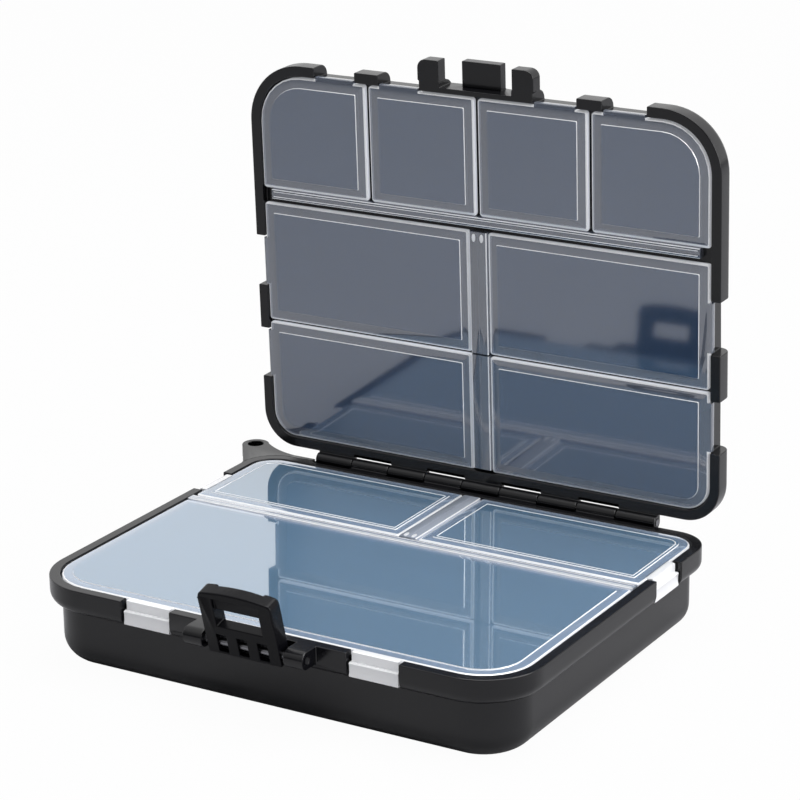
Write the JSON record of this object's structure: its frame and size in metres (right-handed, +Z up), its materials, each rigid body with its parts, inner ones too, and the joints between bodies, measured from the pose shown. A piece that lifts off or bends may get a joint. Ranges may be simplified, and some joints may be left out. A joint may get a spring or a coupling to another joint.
{
  "type": "tackle box",
  "caption": "Pocket tackle box: two black trays joined by a pinned barrel hinge, divided into cells with clear flip lids, with a swing latch at the front and a lanyard eye",
  "frame": {"origin": "centre of the base tray's footprint, on its underside, where the box stands", "axes": "+X to the right seen from the latch side, +Y from the latch to the hinge, +Z up"},
  "size_m": [0.1281, 0.1136, 0.1205],
  "materials": {
    "shell": "black moulded polypropylene, satin",
    "lid": "clear glossy polypropylene",
    "strip": "clear glossy polypropylene",
    "pin": "plain steel wire"
  },
  "bodies": {
    "base": {"base_shell": "shell", "hinge_pin": "pin", "latch_pin": "pin", "base_front_strip": "strip", "base_spine": "strip"},
    "upper": {"upper_shell": "shell", "catch_ear_left": "shell", "catch_ear_right": "shell", "catch_tongue": "shell", "top_strip": "strip", "mid_spine": "strip", "low_spine": "strip"},
    "latch": {"latch": "shell"},
    "front_lid": {"base_front_lid": "lid"},
    "base_left_lid": {"base_left_lid": "lid"},
    "base_right_lid": {"base_right_lid": "lid"},
    "top_lid_1": {"top_lid_1": "lid"},
    "top_lid_2": {"top_lid_2": "lid"},
    "top_lid_3": {"top_lid_3": "lid"},
    "top_lid_4": {"top_lid_4": "lid"},
    "mid_left_lid": {"mid_left_lid": "lid"},
    "mid_right_lid": {"mid_right_lid": "lid"},
    "low_left_lid": {"low_left_lid": "lid"},
    "low_right_lid": {"low_right_lid": "lid"}
  },
  "joints": [
    {"name": "main_hinge", "type": "hinge", "parent": "base", "child": "upper", "pos_m": [0, 0.0488, 0.0197], "axis": [-1, 0, 0], "range_deg": [-88.2, 91.8]},
    {"name": "latch_swing", "type": "hinge", "parent": "base", "child": "latch", "pos_m": [0, -0.0503, 0.0175], "axis": [1, 0, 0], "range_deg": [-25, 150]},
    {"name": "front_lid_hinge", "type": "hinge", "parent": "base", "child": "front_lid", "pos_m": [0, 0.0107, 0.01865], "axis": [-1, 0, 0], "range_deg": [0, 90]},
    {"name": "base_left_lid_hinge", "type": "hinge", "parent": "base", "child": "base_left_lid", "pos_m": [-0.00305, 0.029, 0.01865], "axis": [0, 1, 0], "range_deg": [0, 85]},
    {"name": "base_right_lid_hinge", "type": "hinge", "parent": "base", "child": "base_right_lid", "pos_m": [0.00305, 0.029, 0.01865], "axis": [0, -1, 0], "range_deg": [0, 85]},
    {"name": "top_lid_1_hinge", "type": "hinge", "parent": "upper", "child": "top_lid_1", "pos_m": [-0.04305, 0.04776, 0.0862], "axis": [1, 0, 0], "range_deg": [0, 90]},
    {"name": "top_lid_2_hinge", "type": "hinge", "parent": "upper", "child": "top_lid_2", "pos_m": [-0.01415, 0.04776, 0.0862], "axis": [1, 0, 0], "range_deg": [0, 90]},
    {"name": "top_lid_3_hinge", "type": "hinge", "parent": "upper", "child": "top_lid_3", "pos_m": [0.01415, 0.04776, 0.0862], "axis": [1, 0, 0], "range_deg": [0, 90]},
    {"name": "top_lid_4_hinge", "type": "hinge", "parent": "upper", "child": "top_lid_4", "pos_m": [0.04305, 0.04776, 0.0862], "axis": [1, 0, 0], "range_deg": [0, 90]},
    {"name": "mid_left_lid_hinge", "type": "hinge", "parent": "upper", "child": "mid_left_lid", "pos_m": [-0.00305, 0.04835, 0.06751], "axis": [0, -0.0314, 0.9995], "range_deg": [0, 85]},
    {"name": "mid_right_lid_hinge", "type": "hinge", "parent": "upper", "child": "mid_right_lid", "pos_m": [0.00305, 0.04835, 0.06751], "axis": [0, 0.0314, -0.9995], "range_deg": [0, 85]},
    {"name": "low_left_lid_hinge", "type": "hinge", "parent": "upper", "child": "low_left_lid", "pos_m": [-0.00305, 0.04926, 0.03852], "axis": [0, -0.0314, 0.9995], "range_deg": [0, 85]},
    {"name": "low_right_lid_hinge", "type": "hinge", "parent": "upper", "child": "low_right_lid", "pos_m": [0.00305, 0.04926, 0.03852], "axis": [0, 0.0314, -0.9995], "range_deg": [0, 85]}
  ]
}
